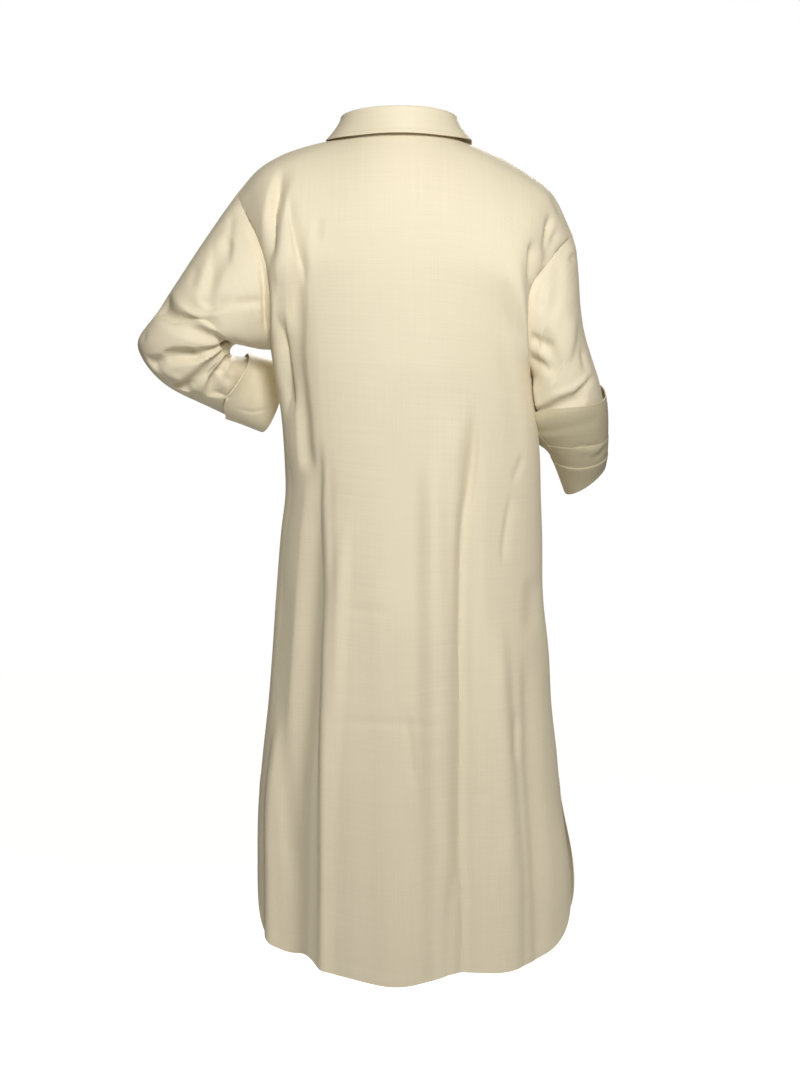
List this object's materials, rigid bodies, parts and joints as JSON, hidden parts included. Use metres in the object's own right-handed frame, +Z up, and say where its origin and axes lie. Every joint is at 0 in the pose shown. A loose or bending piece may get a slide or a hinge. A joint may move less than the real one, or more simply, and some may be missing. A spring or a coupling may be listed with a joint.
{
  "type": "thobe robe",
  "caption": "Ankle-length cotton robe in worn pose, hollow, with a shirt collar, dropped shoulders, rolled sleeves with turned-back cuffs, and a curved hem with side vents.",
  "frame": {"origin": "middle of the neck opening, level with the neck seam, where the wearer's neck and shoulders hold the robe", "axes": "+Z up along the wearer, -Y the wearer's front, +X the wearer's left"},
  "size_m": [0.6711, 0.2685, 1.2226],
  "materials": {
    "cloth": "cream cotton with a soft sheen and faint slubs",
    "cuff_cloth": "wrong side of the cream cotton, duller",
    "button": "satin cream resin"
  },
  "bodies": {
    "root": {"back_panel": "cloth", "front_panel": "cloth", "sleeve_left": "cloth", "sleeve_right": "cloth", "cuff_left": "cuff_cloth", "cuff_right": "cuff_cloth", "sleeve_placket_right": "cuff_cloth", "collar_stand": "cloth", "collar_fall": "cloth", "front_placket": "cloth", "button_1": "button", "button_2": "button", "button_3": "button", "button_4": "button"}
  },
  "joints": []
}
